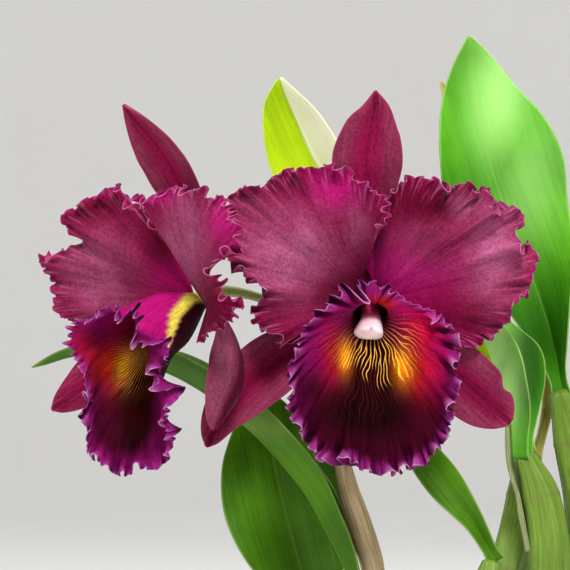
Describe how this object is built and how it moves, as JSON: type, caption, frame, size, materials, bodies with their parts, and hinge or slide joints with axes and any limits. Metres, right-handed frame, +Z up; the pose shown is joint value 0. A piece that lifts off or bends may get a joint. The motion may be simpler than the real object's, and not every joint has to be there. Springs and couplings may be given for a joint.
{
  "type": "potted cattleya orchid",
  "caption": "Potted cattleya orchid with ribbed pseudobulbs, leathery folded leaves and large ruffled crimson-magenta blooms with dark, frilled lips on an arching stalk.",
  "frame": {"origin": "centre of the pot's flat base", "axes": "+Z up the pot's axis; -Y towards the viewer that the front bloom faces, so +X is to that viewer's right"},
  "size_m": [0.3134, 0.1892, 0.4846],
  "materials": {
    "terracotta": "matte",
    "orchid_bark": "matte",
    "rhizome_and_roots": "matte",
    "pseudobulb": "satin",
    "mature_leaf": "satin",
    "young_leaf": "satin",
    "dry_sheath": "matte",
    "papery_sheath": "matte",
    "flower_stalk": "satin",
    "petal": "matte",
    "sepal": "matte",
    "lip": "matte",
    "column": "satin"
  },
  "bodies": {
    "root": {"pot": "terracotta", "bark_mix": "orchid_bark", "rhizome": "rhizome_and_roots", "pseudobulb_a": "pseudobulb", "pseudobulb_b": "pseudobulb", "pseudobulb_c": "pseudobulb", "pseudobulb_d": "pseudobulb", "pseudobulb_e": "pseudobulb", "pseudobulb_g": "pseudobulb", "leaf_a": "mature_leaf", "leaf_b": "mature_leaf", "leaf_c": "young_leaf", "leaf_d": "mature_leaf", "leaf_e": "mature_leaf", "leaf_f": "young_leaf", "leaf_g": "mature_leaf", "sheath_flower": "dry_sheath", "sheath_green": "papery_sheath", "flower_stalk": "flower_stalk", "front_petal_left": "petal", "front_petal_right": "petal", "front_sepal_dorsal": "sepal", "front_sepal_left": "sepal", "front_sepal_right": "sepal", "front_lip": "lip", "front_column": "column", "left_petal_left": "petal", "left_petal_right": "petal", "left_sepal_dorsal": "sepal", "left_sepal_left": "sepal", "left_sepal_right": "sepal", "left_lip": "lip", "left_column": "column"}
  },
  "joints": []
}
